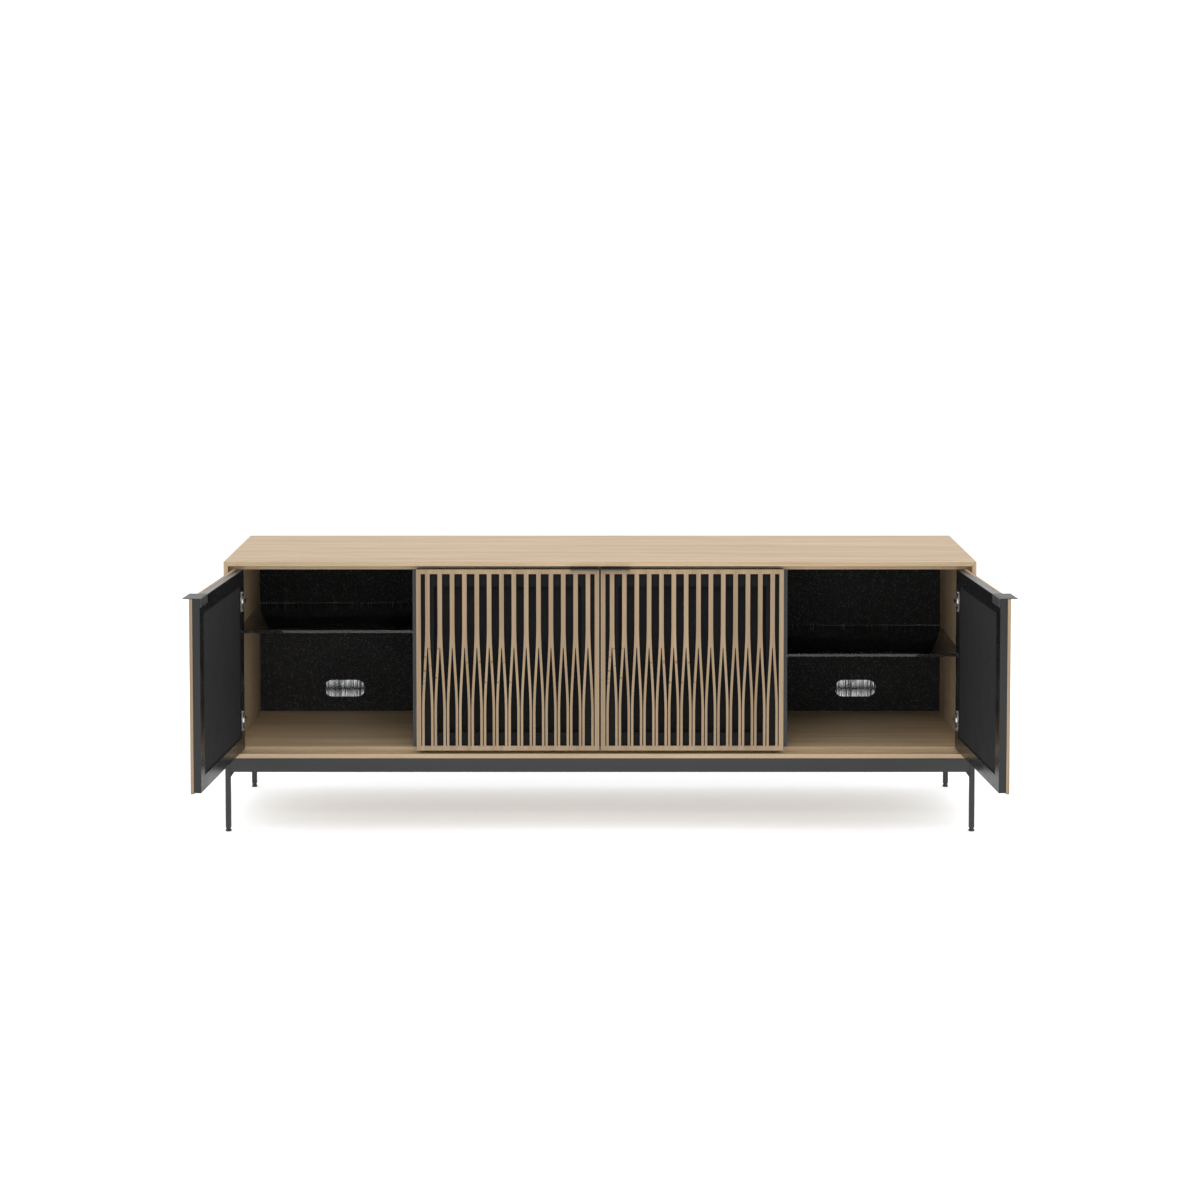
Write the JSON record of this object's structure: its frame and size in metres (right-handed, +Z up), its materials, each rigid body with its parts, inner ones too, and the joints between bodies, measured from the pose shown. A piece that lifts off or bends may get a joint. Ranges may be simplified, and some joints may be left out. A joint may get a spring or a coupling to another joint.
{
  "type": "media cabinet",
  "caption": "Low media cabinet with hinged slatted doors, an open-backed oak case divided into bays with glass shelves, and a slender steel base on levelling feet.",
  "frame": {"origin": "on the floor, under the middle of the object's box with its outer doors open", "axes": "+X to the cabinet's right as seen from the front, +Y from the doors to the back, +Z up"},
  "size_m": [2.0684, 0.995, 0.73],
  "materials": {
    "oak": "light natural oak veneer, matt lacquer",
    "black_lacquer": "black satin lacquer on board",
    "acoustic_cloth": "black woven acoustic cloth",
    "speckled_board": "black board with fine grey flecks",
    "smoked_glass": "tempered grey glass, polished edges",
    "grey_steel": "satin grey powder coat",
    "black_steel": "fine black powder coat",
    "nickel": "satin nickel plate"
  },
  "bodies": {
    "case": {"top_panel": "oak", "floor_panel": "oak", "left_side_panel": "oak", "right_side_panel": "oak", "left_partition": "black_lacquer", "centre_partition": "black_lacquer", "right_partition": "black_lacquer", "left_back_panel": "speckled_board", "left_shelf": "smoked_glass", "centre_left_back_panel": "speckled_board", "centre_left_shelf": "smoked_glass", "centre_right_back_panel": "speckled_board", "centre_right_shelf": "smoked_glass", "right_back_panel": "speckled_board", "right_shelf": "smoked_glass", "front_rail": "grey_steel", "rear_rail": "grey_steel", "left_rail": "grey_steel", "right_rail": "grey_steel", "front_left_leg": "grey_steel", "front_right_leg": "grey_steel", "rear_left_leg": "grey_steel", "rear_right_leg": "grey_steel", "left_door_lower_hinge_arm": "nickel", "left_door_upper_hinge_arm": "nickel", "centre_left_door_lower_hinge_arm": "nickel", "centre_left_door_upper_hinge_arm": "nickel", "centre_right_door_lower_hinge_arm": "nickel", "centre_right_door_upper_hinge_arm": "nickel", "right_door_lower_hinge_arm": "nickel", "right_door_upper_hinge_arm": "nickel"},
    "left_door": {"left_door_lattice": "oak", "left_door_cloth": "acoustic_cloth", "left_door_frame": "black_lacquer", "left_door_lower_hinge_cup": "nickel", "left_door_upper_hinge_cup": "nickel", "left_door_pull": "black_steel"},
    "centre_left_door": {"centre_left_door_lattice": "oak", "centre_left_door_cloth": "acoustic_cloth", "centre_left_door_frame": "black_lacquer", "centre_left_door_lower_hinge_cup": "nickel", "centre_left_door_upper_hinge_cup": "nickel", "centre_left_door_pull": "black_steel"},
    "centre_right_door": {"centre_right_door_lattice": "oak", "centre_right_door_cloth": "acoustic_cloth", "centre_right_door_frame": "black_lacquer", "centre_right_door_lower_hinge_cup": "nickel", "centre_right_door_upper_hinge_cup": "nickel", "centre_right_door_pull": "black_steel"},
    "right_door": {"right_door_lattice": "oak", "right_door_cloth": "acoustic_cloth", "right_door_frame": "black_lacquer", "right_door_lower_hinge_cup": "nickel", "right_door_upper_hinge_cup": "nickel", "right_door_pull": "black_steel"},
    "front_left_foot": {"front_left_foot": "black_steel"},
    "front_right_foot": {"front_right_foot": "black_steel"},
    "rear_left_foot": {"rear_left_foot": "black_steel"},
    "rear_right_foot": {"rear_right_foot": "black_steel"}
  },
  "joints": [
    {"name": "left_door_swing", "type": "hinge", "parent": "case", "child": "left_door", "pos_m": [-0.98025, -0.01273, 0.2204], "axis": [0, 0, 1], "range_deg": [0, 94.3]},
    {"name": "centre_left_door_swing", "type": "hinge", "parent": "case", "child": "centre_left_door", "pos_m": [-0.4801, -0.01273, 0.2204], "axis": [0, 0, -1], "range_deg": [0, 94.3]},
    {"name": "centre_right_door_swing", "type": "hinge", "parent": "case", "child": "centre_right_door", "pos_m": [0.4801, -0.01273, 0.2204], "axis": [0, 0, 1], "range_deg": [0, 94.3]},
    {"name": "right_door_swing", "type": "hinge", "parent": "case", "child": "right_door", "pos_m": [0.98025, -0.01273, 0.2204], "axis": [0, 0, -1], "range_deg": [0, 94.3]},
    {"name": "front_left_foot_adjust", "type": "slide", "parent": "case", "child": "front_left_foot", "axis": [0, 0, -1], "range_m": [0, 0.01]},
    {"name": "front_right_foot_adjust", "type": "slide", "parent": "case", "child": "front_right_foot", "axis": [0, 0, -1], "range_m": [0, 0.01]},
    {"name": "rear_left_foot_adjust", "type": "slide", "parent": "case", "child": "rear_left_foot", "axis": [0, 0, -1], "range_m": [0, 0.01]},
    {"name": "rear_right_foot_adjust", "type": "slide", "parent": "case", "child": "rear_right_foot", "axis": [0, 0, -1], "range_m": [0, 0.01]}
  ]
}
